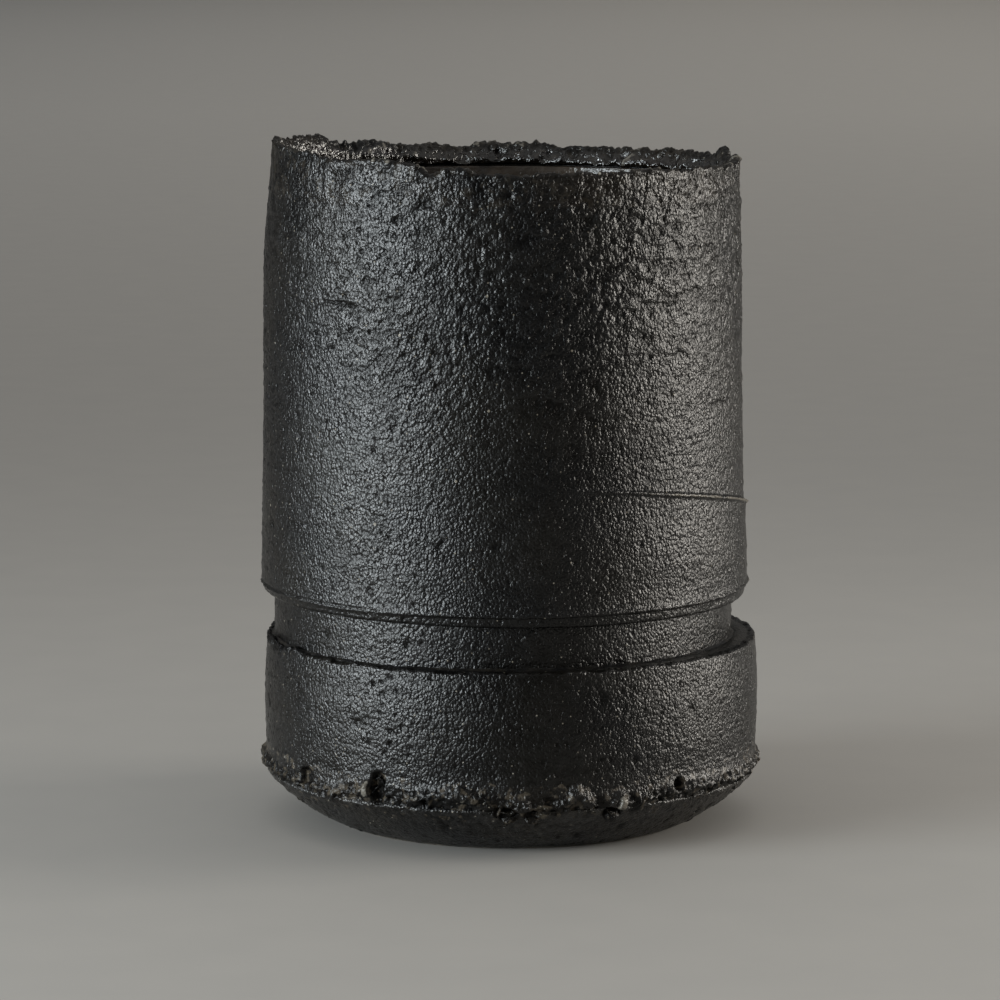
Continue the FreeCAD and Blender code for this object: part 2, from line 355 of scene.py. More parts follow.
def throwing(points, angle):
    """Faint rings from the wheel, each fading in and out round the pot, on a slow swell."""
    height = points[..., 2]
    waver = height + 1.5 * np.sin(angle + 1) + 2.5 * noise(points, 70, 20)
    rings = 0.05 * np.sin(TURN * waver / 11.3) + 0.03 * np.sin(TURN * waver / 4.7 + 2)
    swell = 0.22 * noise(points, 55, 21) + 0.07 * noise(points, 17, 22)
    return rings * (0.5 + 0.6 * noise(points, 48, 23)) + swell


def drag_lines(points, angle, seed, count, low, high):
    """Short fine grooves and burrs dragged by grog along the wheel's direction."""
    rng = np.random.default_rng(seed)
    total = np.zeros(angle.shape)
    for _ in range(count):
        centre, start = rng.uniform(0, TURN), rng.uniform(low, high)
        reach, tilt = rng.uniform(0.06, 0.35), rng.uniform(-1.5, 1.5)
        depth = rng.uniform(-0.10, 0.16)
        turn = turn_from(angle, centre)
        line = start + tilt * turn
        near = (np.abs(turn) < reach * 2) & (np.abs(points[..., 2] - line) < 1.2)
        total[near] -= depth * bump(points[..., 2][near], line[near], 0.3) * bump(turn[near], 0, reach)
    return total


def scattered(points, angle, cell, share, seed):
    """Small uneven spots over the wall, 1 at a spot's middle."""
    cells = int(TURN * body_high[0] / cell)
    around = angle + 0.2 * cell * noise(points, 0.9 * cell, seed + 50) / body_high[0]
    up = points[..., 2] + 0.2 * cell * noise(points, 0.8 * cell, seed + 60)
    return spots(around / TURN % 1, up, cells, cell, share, seed)


def pits(points, angle, cell, share, depth, seed):
    return -depth * scattered(points, angle, cell, share, seed)


def ripples(points, angle):
    """Flattened lumps and scallops that grow towards the rim, most of all on the right."""
    place = points * (1, 1, 1.9)
    swells = noise(place, 6.5, 16) + 0.6 * noise(place, 3.2, 17)
    right = on_rough_side(angle)
    return 0.42 * swells * step_up(points[..., 2], WALL_TOP - 105, WALL_TOP - 10) * (0.3 + 0.7 * right)


def nodules(points, angle):
    """Glazed beads of grog, thickest high on the front."""
    high = step_up(points[..., 2], WALL_TOP - 80, WALL_TOP - 30)
    front = facing(angle, FRONT + 0.15, 0.5) * high
    return (0.2 + 0.35 * front) * scattered(points, angle, 3.4, 0.3, 43)


def pit_cluster(points, angle, centre, height, spread):
    """A patch where the glaze has pulled back from open pores. Its centre is in degrees."""
    side = turn_from(angle, math.radians(centre)) * body_high[0] / spread
    rise = (points[..., 2] - height) / spread
    patch = np.exp(-side ** 2 - rise ** 2)
    return patch * pits(points, angle, 3.3, 0.5, 0.8, 41)


# Short open slits in the wall: direction in degrees, height, half length, depth.
CRACKS = [(229, WALL_TOP - 35.5, 7, 0.7), (306, WALL_TOP - 52, 13, 0.4), (310, WALL_TOP - 35.5, 8, 0.5),
          (331, WALL_TOP - 70, 9, 0.4), (20, WALL_TOP - 30, 12, 0.5), (95, WALL_TOP - 60, 14, 0.4),
          (150, WALL_TOP - 24, 8, 0.6)]


def cracks(points, angle):
    total = np.zeros(angle.shape)
    for centre, height, reach, depth in CRACKS:
        side = turn_from(angle, math.radians(centre)) * body_high[0] / reach
        rise = points[..., 2] - height + 0.6 * noise(points, 3.5, 42) + 0.4 * side
        total += depth * bump(rise, 0, 0.4) * np.exp(-side ** 4)
    return total


def clay(points, angle):
    """The relief that every outside wall shares."""
    surface = grog(points) + throwing(points, angle)
    surface += pits(points, angle, 6.0, 0.05, 0.4, 31)
    surface += pits(points, angle, 2.6, 0.04, 0.35, 32)
    return surface + nodules(points, angle)


RIDGE_START = FRONT + math.radians(8)  # the spiral ridge begins here, faintly
RIDGE_HEIGHT = SKIRT_FOOT + 45
RIDGE_DROP = 17  # how far it falls in a quarter turn
BULGE = math.radians(345)  # the wall stands proud below the ridge on this side


def spiral_ridge(points, angle):
    """A ridge left by the throwing tool. It drops as it goes round, and the wall below it stands proud."""
    turn = (angle - RIDGE_START) % TURN / (math.pi / 2)
    line = RIDGE_HEIGHT - RIDGE_DROP * turn ** 1.5
    shown = step_up(turn, 0.0, 0.35) * (1 - step_up(turn, 1.5, 1.9))
    ridge = 1.4 * bump(points[..., 2], line, 0.55) * (0.9 + 0.4 * noise(points, 5, 51))
    below = line - points[..., 2]
    proud = step_up(below, -0.4, 0.6) * (1 - step_up(below, 18, 34))
    return shown * (ridge + 0.5 * proud)


def skirt(points, angle):
    """The lip over the neck band: a proud, slightly uneven bead above the undercut."""
    line = SKIRT_FOOT + 4.4 + 0.5 * noise(points, 40, 61)
    lip = 0.2 * bump(points[..., 2], line, 1.6) + 0.75 * bump(points[..., 2], line, 0.5)
    return lip * (0.9 + 0.5 * noise(points, 5, 62))


def drawn_in(points, angle):
    """How far the outside is drawn in toward the mouth at the upper left."""
    radius = radius_of(points, UPPER_AXIS)
    left = facing(angle, math.pi, 0.55)
    return 2.0 * left * step_up(points[..., 2], WALL_TOP - 24, WALL_TOP + 18) * step_up(radius, *DRAW_IN)


def bend_wall(points, angle):
    """Draw the wall in at the upper left and let it bulge low on the right."""
    radius = radius_of(points, UPPER_AXIS)
    right = facing(angle, BULGE, 1.0) * step_up(radius, *WALL_BULGE)
    bulge = 0.6 * right * (1 - step_up(points[..., 2], SKIRT_FOOT + 8, SKIRT_FOOT + 42))
    share = (drawn_in(points, angle) - bulge) / radius
    points[..., 0] -= share * (points[..., 0] - UPPER_AXIS)
    points[..., 1] -= share * points[..., 1]
    return points


def body_shape(points, angle):
    """The skirt's lower edge sits a little higher on the left."""
    low = 1 - step_up(points[..., 2], SKIRT_FOOT + 3, SKIRT_FOOT + 14)
    points[..., 2] += 1.8 * low * ((1 - np.cos(angle)) / 2) ** 2
    return bend_wall(points, angle)


def body_relief(points, angle):
    surface = clay(points, angle) + spiral_ridge(points, angle) + skirt(points, angle)
    surface += ripples(points, angle) - cracks(points, angle)
    surface += drag_lines(points, angle, 71, 90, SKIRT_FOOT + 8, WALL_TOP - 4)
    for centre, drop, spread in ((235, 11, 13), (228, 38, 8), (316, 8, 13)):
        surface += pit_cluster(points, angle, centre, WALL_TOP - drop, spread)
    return surface + step_up(points[..., 2], WALL_TOP - 16, WALL_TOP) * 0.35 * noise(points, 6.5, 63)


# ---- materials ----

IRON_BLACK = (0.001, 0.001, 0.0011)  # the glaze where it is coolest
BARE_PATCH = (0.060, 0.049, 0.035)  # clay with the glaze worn thin
CREST_WEAR_AND_HIGHLIGHT = (0.10, 0.092, 0.077)  # paler where the clay stands out most: partly clay rubbed bare, partly a painted highlight on the crests
PALE_CRUMB = (0.14, 0.125, 0.10)  # grog at the surface
BARE_CLAY = (0.13, 0.11, 0.085)  # clay with no glaze
SLIP_BLACK = (0.002, 0.002, 0.0022)
SLIP_BROWN = (0.007, 0.006, 0.0045)
LINER_DARK = (0.026, 0.022, 0.019)
LINER_BROWN = (0.058, 0.043, 0.030)


class Nodes:
    """Short names for building a node material."""

    def __init__(self, name):
        self.material = bpy.data.materials.new(name)
        self.material.use_nodes = True
        self.tree = self.material.node_tree
        self.shader = self.tree.nodes["Principled BSDF"]
        self.place = self.add("ShaderNodeTexCoord").outputs["Object"]

    def add(self, kind, **settings):
        node = self.tree.nodes.new(kind)
        for key, value in settings.items():
            setattr(node, key, value)
        return node

    def join(self, source, target):
        self.tree.links.new(source, target)

    def axes(self):
        """A node whose outputs X, Y and Z are the place in metres."""
        node = self.add("ShaderNodeSeparateXYZ")
        self.join(self.place, node.inputs[0])
        return node

    def noise(self, wavelength, detail=2.0):
        node = self.add("ShaderNodeTexNoise")
        node.inputs["Scale"].default_value = 1 / (wavelength * METRES)
        node.inputs["Detail"].default_value = detail
        self.join(self.place, node.inputs["Vector"])
        return node.outputs["Fac"]

    def ramp(self, source, *stops):
        node = self.add("ShaderNodeValToRGB")
        elements = node.color_ramp.elements
        while len(elements) < len(stops):
            elements.new(0.5)
        for element, (position, value) in zip(elements, stops):
            element.position = position
            element.color = (*value, 1) if isinstance(value, tuple) else (value, value, value, 1)
        self.join(source, node.inputs["Fac"])
        return node.outputs["Color"]

    def feed(self, value, socket):
        """Join a node's output to the socket, or set the socket to a colour or a number."""
        if isinstance(value, tuple):
            socket.default_value = (*value, 1)
        elif isinstance(value, (int, float)):
            socket.default_value = value
        else:
            self.join(value, socket)

    def mix(self, share, first, second):
        node = self.add("ShaderNodeMix", data_type="RGBA")
        self.join(share, node.inputs["Factor"])
        self.feed(first, node.inputs[6])
        self.feed(second, node.inputs[7])
        return node.outputs[2]

    def bump(self, source, distance, strength=1.0):
        node = self.add("ShaderNodeBump")
        node.inputs["Distance"].default_value = distance * METRES
        node.inputs["Strength"].default_value = strength
        self.join(source, node.inputs["Height"])
        return node.outputs["Normal"]

    def sum(self, first, second, operation="ADD"):
        node = self.add("ShaderNodeMath", operation=operation)
        self.feed(first, node.inputs[0])
        self.feed(second, node.inputs[1])
        return node.outputs[0]

    def cells(self, size, tall=1.0, warp=0.0):
        """Packed cells: the distance from each cell's middle (0 to about 1) and a random value per cell."""
        place = self.place
        if warp:
            stray = self.add("ShaderNodeTexNoise")
            stray.inputs["Scale"].default_value = 1 / (1.8 * size * METRES)
            self.join(self.place, stray.inputs["Vector"])
            scaled = self.add("ShaderNodeVectorMath", operation="MULTIPLY_ADD")
            scaled.inputs[1].default_value = (warp * size * METRES,) * 3
            self.join(stray.outputs["Color"], scaled.inputs[0])
            self.join(self.place, scaled.inputs[2])
            place = scaled.outputs[0]
        stretch = self.add("ShaderNodeMapping")
        stretch.inputs["Scale"].default_value = (1, 1, 1 / tall)
        self.join(place, stretch.inputs["Vector"])
        node = self.add("ShaderNodeTexVoronoi")
        node.inputs["Scale"].default_value = 1 / (size * METRES)
        self.join(stretch.outputs[0], node.inputs["Vector"])
        pick = self.add("ShaderNodeSeparateColor")
        self.join(node.outputs["Color"], pick.inputs[0])
        return node.outputs["Distance"], pick.outputs[0]

    def grain(self, size):
        """Rounded grains with creases between them, and small crumbs that stand up more steeply."""
        distance, _ = self.cells(size, 1.25, 1.0)
        dome = self.sum(1.0, self.sum(distance, distance, "MULTIPLY"), "SUBTRACT")
        apart, pick = self.cells(1.3 * size, 1.0, 0.8)
        crumb = self.ramp(apart, (0.0, 1.0), (0.38, 0.0))
        crumbs = self.sum(crumb, self.ramp(pick, (0.5, 1.0), (0.51, 0.0)), "MULTIPLY")
        fine = self.sum(self.noise(size / 2, 2), 0.5, "MULTIPLY")
        return self.sum(self.sum(dome, fine), self.sum(crumbs, 0.45, "MULTIPLY"))

    def specks(self, cell, radius, share):
        """Pale crumbs: one may sit in each cell."""
        distance, pick = self.cells(cell)
        near = self.ramp(distance, (radius / cell, 1.0), (1.6 * radius / cell, 0.0))
        chosen = self.ramp(pick, (share, 1.0), (share + 0.01, 0.0))
        return self.sum(near, chosen, "MULTIPLY")

    def pushed(self):
        """How far the mesh stands out, from the attribute that lathe() stores."""
        node = self.add("ShaderNodeAttribute", attribute_name="push")
        return node.outputs["Fac"]


def fired_clay(name, glaze, shine, grain, crumbs, warm=(0.003, 0.0026, 0.002), worn=0.0, depth=0.25):
    """Near-black iron glaze over grogged clay. Creases are duller, a painted shade on the glaze's
    reflection, and pale crumbs of grog show through.
    worn is how much bare clay shows in patches, and depth is how deep the fine grain is, in millimetres."""
    n = Nodes(name)
    tint = n.mix(n.ramp(n.noise(34, 3), (0.4, 0.0), (0.65, 1.0)), IRON_BLACK, warm)
    crumb = n.sum(n.specks(2.6, 0.20, crumbs), n.specks(9, 0.36, 0.2), "MAXIMUM")
    patches = n.mix(n.ramp(n.noise(3, 4), (0.54, 0.0), (0.62, worn)), tint, BARE_PATCH)
    # Painted highlight, partly wear: the colour turns paler where the mesh stands out more than about a
    # millimetre.
    crest_wear_and_highlight = n.ramp(n.sum(n.pushed(), 0.4, "MULTIPLY"), (0.42, 0.0), (0.52, 1.0))
    colour = n.mix(crumb, n.mix(crest_wear_and_highlight, patches, CREST_WEAR_AND_HIGHLIGHT), PALE_CRUMB)
    n.join(colour, n.shader.inputs["Base Color"])
    height = n.grain(grain)
    dull, bright = glaze
    n.join(n.ramp(n.noise(6, 3), (0.3, dull), (0.7, bright)), n.shader.inputs["Roughness"])
    # Painted shade: the reflection is weaker in the grain's creases and where the mesh sinks into pits and
    # holes.
    open_up = n.sum(n.ramp(height, (0.45, 0.65), (0.95, 1.0)), shine, "MULTIPLY")
    low = n.ramp(n.sum(n.sum(n.pushed(), 2.0, "MULTIPLY"), 0.5), (0.0, 0.5), (0.5, 1.0))
    n.join(n.sum(open_up, low, "MULTIPLY"), n.shader.inputs["Specular IOR Level"])
    n.join(n.bump(height, depth), n.shader.inputs["Normal"])
    return n


def satin_glaze():
    return fired_clay("satin_glaze", (0.25, 0.37), 0.36, 0.9, 0.3).material


def torn_glaze():
    """As the wall, with glaze pooled thicker and glossier on the inner side."""
    n = fired_clay("torn_glaze", (0.24, 0.36), 0.36, 0.9, 0.4, warm=(0.006, 0.0045, 0.003), worn=0.15)
    inside = n.add("ShaderNodeAttribute", attribute_name="inside").outputs["Fac"]
    for name, gain in (("Specular IOR Level", 0.6), ("Roughness", -0.12)):
        socket = n.shader.inputs[name]
        outside = socket.links[0].from_socket
        n.join(n.sum(outside, n.sum(inside, gain, "MULTIPLY")), socket)
    return n.material


def broken_clay():
    warm = (0.005, 0.004, 0.003)
    return fired_clay("broken_clay", (0.25, 0.42), 0.38, 0.9, 0.6, warm=warm, worn=0.6).material


def foot_glaze():
    """As the wall, with bare pale clay where the glaze was wiped from the resting edge."""
    warm = (0.008, 0.0065, 0.0045)
    n = fired_clay("foot_glaze", (0.27, 0.40), 0.6, 1.0, 0.9, warm=warm, worn=0.10, depth=0.45)
    split = n.axes()
    ragged = n.sum(split.outputs["Z"], n.sum(n.noise(9, 3), 0.0022, "MULTIPLY"))
    bare = n.ramp(n.sum(ragged, 300, "MULTIPLY"), (0.44, 1.0), (0.54, 0.0))
    colour = n.shader.inputs["Base Color"].links[0].from_socket
    n.join(n.mix(bare, colour, BARE_CLAY), n.shader.inputs["Base Color"])
    return n.material


def joining_slip():
    n = Nodes("joining_slip")
    tint = n.mix(n.ramp(n.noise(5, 2), (0.4, 0.0), (0.65, 1.0)), SLIP_BLACK, SLIP_BROWN)
    n.shader.inputs["Specular IOR Level"].default_value = 0.3
    n.join(tint, n.shader.inputs["Base Color"])
    n.join(n.ramp(n.noise(3, 2), (0.3, 0.26), (0.7, 0.42)), n.shader.inputs["Roughness"])
    n.join(n.bump(n.noise(0.9, 2), 0.2), n.shader.inputs["Normal"])
    return n.material


def liner_gloss():
    n = Nodes("liner_gloss")
    colour = n.mix(n.ramp(n.noise(14, 3), (0.4, 0.0), (0.7, 1.0)), LINER_DARK, LINER_BROWN)
    n.join(colour, n.shader.inputs["Base Color"])
    n.join(n.ramp(n.noise(7, 2), (0.3, 0.18), (0.7, 0.32)), n.shader.inputs["Roughness"])
    n.shader.inputs["Specular IOR Level"].default_value = 0.42
    n.join(n.bump(n.noise(1.6, 2), 0.3), n.shader.inputs["Normal"])
    return n.material


satin = satin_glaze()
torn = torn_glaze()
broken = broken_clay()
bare_foot = foot_glaze()
slip = joining_slip()
gloss = liner_gloss()


def finish_piece(piece, material, node):
    piece.data.materials.append(material)
    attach(piece, "root")
    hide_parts(node)


# ---- pieces ----

COLUMNS = 1000  # points round a wall
TORN_COLUMNS = 1200  # the same for the torn bead and the torn rim
LINER_COLUMNS = 480
FILLET_COLUMNS = 700
SLIP_COLUMNS = 400
SEAM_LOW = foot_high[2] - 3  # the slab's top edge, under the collar
SEAM_HIGH = SEAM_LOW + 5  # the collar's bottom edge, over the bead
BELLY = collar_high[0]
BEAD_OUT = bead_high[0]
# Where the bead stands out round the foot: direction and half width in degrees, amount.
SWELLS = [(182, 12, 0.7), (204, 6, 0.4), (224, 4, 0.5), (236, 2.2, 0.9), (248, 4, 0.4), (258.5, 7, 1.3),
          (272.5, 3.5, 0.9), (285, 3.5, 1.3), (295, 2.6, 1.1), (301, 3, 0.8), (313, 4, 0.9), (326, 10, 0.7),
          (345, 12, 0.6), (5, 14, 0.5), (62, 24, 0.7), (104, 12, 0.6), (142, 20, 0.8)]
# Height of the bead's crest above or below the middle of the seam: direction, millimetres.
CREST = [(0, 0), (30, 1.2), (60, -0.8), (95, 1), (120, -1), (150, 0.8), (180, 0.4), (200, -0.8), (216, -0.6),
         (224, -2), (236, 1), (247, -0.5), (252, 1.4), (258.5, 2.8), (264, 1.6), (267, -0.8), (272.5, -0.6),
         (280, -1), (285.3, 2.6), (289, -1.4), (294.8, -0.6), (301, -1), (313, 0.4), (325, 0), (345, 0)]
# Where the clay is torn right open: direction in degrees, height, half width, half height, depth.
HOLES = [(215.5, 21, 3.4, 3.2, 4.2), (238.3, 22, 2.2, 4.8, 4.2), (250, 18.6, 1.1, 1.3, 2.6),
         (266.5, 17, 1.0, 1.4, 2.4), (269.5, 15.4, 2.8, 1.6, 3.6), (274.7, 15.2, 2.6, 1.4, 3.6),
         (293.8, 15, 2.8, 2.1, 4.0), (311, 22, 1.8, 1.9, 3.4), (322, 18, 1.5, 1.2, 2.8),
         (335, 17.6, 1.5, 1.2, 2.6), (349, 18, 1.8, 1.0, 2.4), (18, 18, 3.5, 2.0, 3.2),
         (47, 20, 2.2, 2.6, 2.8), (81, 17, 5.0, 2.0, 3.4), (118, 21, 2.0, 3.0, 2.8),
         (149, 17, 4.0, 2.0, 3.2), (178, 18, 1.4, 1.4, 2.6), (196, 19, 1.2, 1.0, 2.2)]
# Smooth lumps beside the tears: direction in degrees, height, half width, half height, how far out.
LUMPS = [(295, 18.7, 3.0, 2.2, 1.5), (236, 22.5, 1.7, 2.6, 1.7), (272.7, 19, 2.5, 1.8, 0.8),
         (224, 16.7, 1.6, 1.4, 1.0), (213, 18.2, 2.0, 1.2, 0.9), (258, 21, 4.0, 1.4, 0.6),
         (308, 20, 1.6, 2.0, 1.0), (316, 20.5, 2.2, 1.8, 0.9), (330, 20, 2.4, 1.6, 0.8),
         (341, 19.5, 2.0, 1.5, 0.9)]


def swell(points, angle):
    """How strongly the bead stands out here, from 0 to about 1.4."""
    total = sum(amount * facing(angle, math.radians(centre), math.radians(width))
                for centre, width, amount in SWELLS)
    return np.clip(total + 0.25 * noise(points, 9, 107), 0, 1.4)


def holes(points, angle):
    """Depth of the open tears, in millimetres."""
    deepest = np.zeros(angle.shape)
    stray_side, stray_rise = 0.8 * noise(points, 3.2, 105), 0.7 * noise(points, 3.0, 108)
    for centre, height, width, tall, depth in HOLES:
        side = (turn_from(angle, math.radians(centre)) * BEAD_OUT + stray_side) / width
        rise = (points[..., 2] + stray_rise - height) / tall
        deepest = np.maximum(deepest, depth * np.exp(-(side ** 2 + rise ** 2) ** 2))
    return deepest


def lumps(points, angle):
    """How far the smooth lumps beside the tears stand out, in millimetres."""
    total = np.zeros(angle.shape)
    for centre, height, width, tall, out in LUMPS:
        side = turn_from(angle, math.radians(centre)) * BEAD_OUT / width
        rise = (points[..., 2] - height) / tall
        total = np.maximum(total, out * np.exp(-side ** 2 - rise ** 2))
    return total


def torn_edge(angle, seed):
    """How far a torn edge strays up or down round the pot: long sweeps with short bites."""
    circle = ring(angle, BEAD_OUT)
    sweep = 1.7 * noise(circle, 24, seed) + 1.1 * noise(circle, 7, seed + 1)
    return sweep + 0.7 * noise(circle, 2.6, seed + 2)


def make_body():
    """Below the lip the skirt stands upright and rounds off quickly, over a narrow gap."""
    outline = cad_section("body_wall", UPPER_AXIS)
    lip = outline[outline[:, 1] < SKIRT_FOOT + 10][:, 0].max()
    under = [(NECK_RADIUS + 0.4, SKIRT_FOOT + 1.0), (lip - 1.9, SKIRT_FOOT), (lip - 1.0, SKIRT_FOOT + 0.3),
             (lip - 0.6, SKIRT_FOOT + 0.8), (lip - 0.5, SKIRT_FOOT + 1.6), (lip - 0.5, SKIRT_FOOT + 3.6)]
    above = outline[(outline[:, 1] > SKIRT_FOOT + 4.2)]
    outline = np.vstack([under, above])
    line = spaced(outline, True, lambda r, z: r > NECK_RADIUS + 0.5)
    stations = with_axis(line, UPPER_AXIS, lambda r, z: r > NECK_RADIUS + 0.2)
    piece = lathe("body_wall_clay", stations, COLUMNS, body_relief, shape=body_shape)
    finish_piece(piece, satin, "body_wall")


def make_neck():
    line = spaced(cad_section("neck_band", UPPER_AXIS), True,
                  lambda r, z: r > NECK_RADIUS - 0.5 and LEDGE - 1 < z < SKIRT_FOOT + 3)
    stations = with_axis(line, UPPER_AXIS, lambda r, z: r > NECK_RADIUS - 0.2)
    piece = lathe("neck_band_clay", stations, COLUMNS, clay)
    finish_piece(piece, satin, "neck_band")


def collar_relief(points, angle):
    surface = clay(points, angle)
    low = 1 - step_up(points[..., 2], SEAM_HIGH, SEAM_HIGH + 8)
    surface += low * (0.1 + 0.5 * noise(points, 8, 81) + 0.35 * noise(points, 3, 82))
    for centre, height, spread in ((241, 38, 9), (239, LEDGE - 7, 6), (300, LEDGE - 6, 7)):
        surface += pit_cluster(points, angle, centre, height, spread)
    surface += drag_lines(points, angle, 83, 24, SEAM_HIGH + 6, LEDGE - 3)
    edge = bump(points[..., 2], LEDGE, 1.6)
    broken = facing(angle, math.radians(197), 0.5)
    surface += edge * (0.3 * noise(points, 9, 84) + broken * (crumbled(points, 86) - 0.6))
    inside = step_up(LEDGE_OUT - radius_of(points), 0, 1.5)
    top = step_up(points[..., 2], LEDGE - 0.8, LEDGE - 0.1) * inside
    surface += top * (0.7 * crumbled(points, 95) - 0.6)
    return surface + lumps(points, angle) - holes(points, angle)


def collar_shape(points, angle):
    """The torn bottom edge wanders, and on the left crumbs stand up along the top edge."""
    radius = radius_of(points)
    circle = ring(angle, BEAD_OUT)
    corner = step_up(points[..., 2], LEDGE - 2.5, LEDGE) * step_up(radius, *COLLAR_CORNER)
    broken = facing(angle, math.radians(192), 0.35)
    uneven = 0.5 * noise(circle, 14, 87) + broken * (0.4 + 1.0 * np.abs(noise(circle, 2.4, 88)))
    points[..., 2] += corner * uneven
    low = 1 - step_up(points[..., 2], SEAM_HIGH, SEAM_HIGH + 7)
    outside = step_up(radius_of(points), *COLLAR_FACE)
    points[..., 2] += low * outside * 0.4 * torn_edge(angle, 85)
    return points


def make_collar():
    bore = NECK_RADIUS + 1
    line = spaced(cad_section("base_collar", BASE_AXIS), True, lambda r, z: r > bore and z > SEAM_HIGH - 1)
    stations = with_axis(line, lambda r, z: UPPER_AXIS if r < bore and z > SEAM_LOW + 2 else BASE_AXIS,
                         lambda r, z: r > bore + 2 and z > SEAM_HIGH - 0.5)
    piece = lathe("base_collar_clay", stations, COLUMNS, collar_relief, shape=collar_shape)
    finish_piece(piece, satin, "base_collar")


def foot_relief(points, angle):
    surface = 1.9 * clay(points, angle) + lumps(points, angle) - holes(points, angle)
    high = step_up(points[..., 2], SEAM_LOW - 7, SEAM_LOW - 1)
    return surface + high * (0.3 * noise(points, 7, 91) + 0.3 * noise(points, 2.8, 92))


def make_foot():
    line = spaced(cad_section("foot_disc", BASE_AXIS), False, lambda r, z: r > 60 and z < SEAM_LOW + 0.1)
    stations = with_axis(line, BASE_AXIS, lambda r, z: r > 62 and z < SEAM_LOW + 0.1)
    piece = lathe("foot_disc_clay", stations, COLUMNS, foot_relief, closed=False)
    finish_piece(piece, bare_foot, "foot_disc")


def crumbled(points, seed):
    """Broken clay: lumps on lumps at four sizes, with sharp crests."""
    rough = 0.9 * noise(points, 9, seed) + 1.3 * (0.5 - np.abs(noise(points, 4.0, seed + 1)))
    rough += 0.8 * (0.4 - np.abs(noise(points, 1.9, seed + 2)))
    return rough + 0.5 * granules(points, 1.2, seed + 3)


def crest_height(angle):
    directions, heights = np.array(CREST).T
    rise = np.interp(np.degrees(angle), directions, heights, period=360)
    return SEAM_MIDDLE + rise + 0.5 * torn_edge(angle, 106)


def bead_relief(points, angle):
    """Broken lumps along the crest, and above and below it clay smoothed flush with collar and foot."""
    above = points[..., 2] - crest_height(angle)
    right = on_rough_side(angle)
    teeth = 0.9 * np.abs(noise(points * (1, 1, 0.7), 2.3, 109)) - 0.3
    broken_lumps = crumbled(points, 101) + 0.9 * teeth * (0.5 + 0.8 * right)
    broken_lumps = broken_lumps + 1.4 * swell(points, angle) - 1.5 - 0.3 * right
    ragged = 0.9 * noise(points, 3.4, 110)
    corner = bump(points[..., 2], SEAM_LOW, 1.3) * (0.7 * noise(points, 2.3, 116) - 0.1)
    shown = step_up(above + ragged, -2.6, -1.6) * (1 - step_up(above + ragged, 1.2, 3.6))
    plain = clay(points, angle) * np.where(above < 0, 1.5, 1) * step_up(np.abs(above), 0.5, 2.5)
    return plain + corner + shown * broken_lumps + lumps(points, angle) - holes(points, angle)


def bead_shape(points, angle):
    """Lift or drop the crest, and let the flap's lower edge hang unevenly over the slab's corner."""
    circle = ring(angle, BEAD_OUT)
    held = step_up(points[..., 2], SEAM_LOW - 3.5, SEAM_MIDDLE - 1)
    corner = bump(points[..., 2], SEAM_LOW + 0.3, 1.1)
    outside = step_up(radius_of(points), BELLY - 2.5, BELLY - 1)
    uneven = 0.9 * noise(circle, 6, 114) + 0.7 * noise(circle, 2.2, 115)
    points[..., 2] += held * (crest_height(angle) - SEAM_MIDDLE) + outside * corner * uneven
    return points


def make_bead():
    """The bead laps thinly up over the collar and down over the slab, so the clay runs through."""
    collar = cad_section("base_collar", BASE_AXIS)
    collar = collar[(collar[:, 0] > BELLY - 1.2) & (collar[:, 1] < LEDGE - 5)]
    wall = [(np.interp(height, collar[:, 1], collar[:, 0]) + out, height)
            for height, out in ((SEAM_HIGH + 2.0, 0.15), (SEAM_HIGH + 4.0, 0.03), (SEAM_HIGH + 6.0, -0.6))]
    slab = foot_high[0]
    middle = SEAM_MIDDLE
    bevel = cad_section("foot_disc", BASE_AXIS)
    bevel = bevel[(bevel[:, 0] > slab - 12) & (bevel[:, 1] < SEAM_LOW - 0.5)]
    low = [(np.interp(SEAM_LOW - drop, bevel[:, 1], bevel[:, 0]) + out, SEAM_LOW - drop)
           for drop, out in ((5.0, -1.4), (4.4, 0.0), (3.2, 0.06), (1.7, 0.12))]
    crest = [(slab + 0.25, middle - 2.2), (slab + 0.7, middle - 1.5), (BEAD_OUT - 0.9, middle - 0.8),
             (BEAD_OUT - 0.6, middle), (BEAD_OUT - 0.9, middle + 1.2), (slab + 0.7, middle + 2.6)]
    outline = low + crest + wall + [(BELLY - 2.5, SEAM_HIGH + 5), (BELLY - 2.8, middle)]
    line = spaced(np.array(outline), True, lambda r, z: r > slab - 0.8 or z < SEAM_LOW - 1)
    stations = with_axis(line, BASE_AXIS, lambda r, z: r > slab - 0.7 or z < SEAM_LOW - 1)
    piece = lathe("torn_foot_bead_clay", stations, TORN_COLUMNS, bead_relief, shape=bead_shape)
    finish_piece(piece, broken, "torn_foot_bead")


def liner_relief(points, angle):
    """Smoother than the outside: the glaze lies thick over soft throwing rings, with runs near the top."""
    height = points[..., 2]
    rings = 0.35 * np.sin(TURN * (height + 2 * np.sin(angle)) / 13) * (0.6 + noise(points, 50, 111))
    return rings + 0.35 * noise(points, 9, 112) + 0.22 * noise(points, 3.5, 113)


def make_liner():
    inside = NECK_RADIUS - 3.4
    section = cad_section("glaze_liner", UPPER_AXIS)
    line = spaced(section, False, lambda r, z: r < inside and z > liner_low[2] + 1)
    stations = with_axis(line, UPPER_AXIS, lambda r, z: r < inside and z > liner_low[2] + 0.2)
    piece = lathe("glaze_liner_coat", stations, LINER_COLUMNS, liner_relief, closed=False)
    finish_piece(piece, gloss, "glaze_liner")


def cad_rim_top(angle):
    """Height of the CAD rim in each direction."""
    points = corners(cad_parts["torn_rim"].data)
    turn = np.arctan2(points[:, 1], points[:, 0] - UPPER_AXIS) % TURN
    marks = np.arange(0, TURN, TURN / 72)
    tops = [points[np.abs(turn_from(turn, mark)) < TURN / 100][:, 2].max() for mark in marks]
    return np.interp(angle, marks, tops, period=TURN)


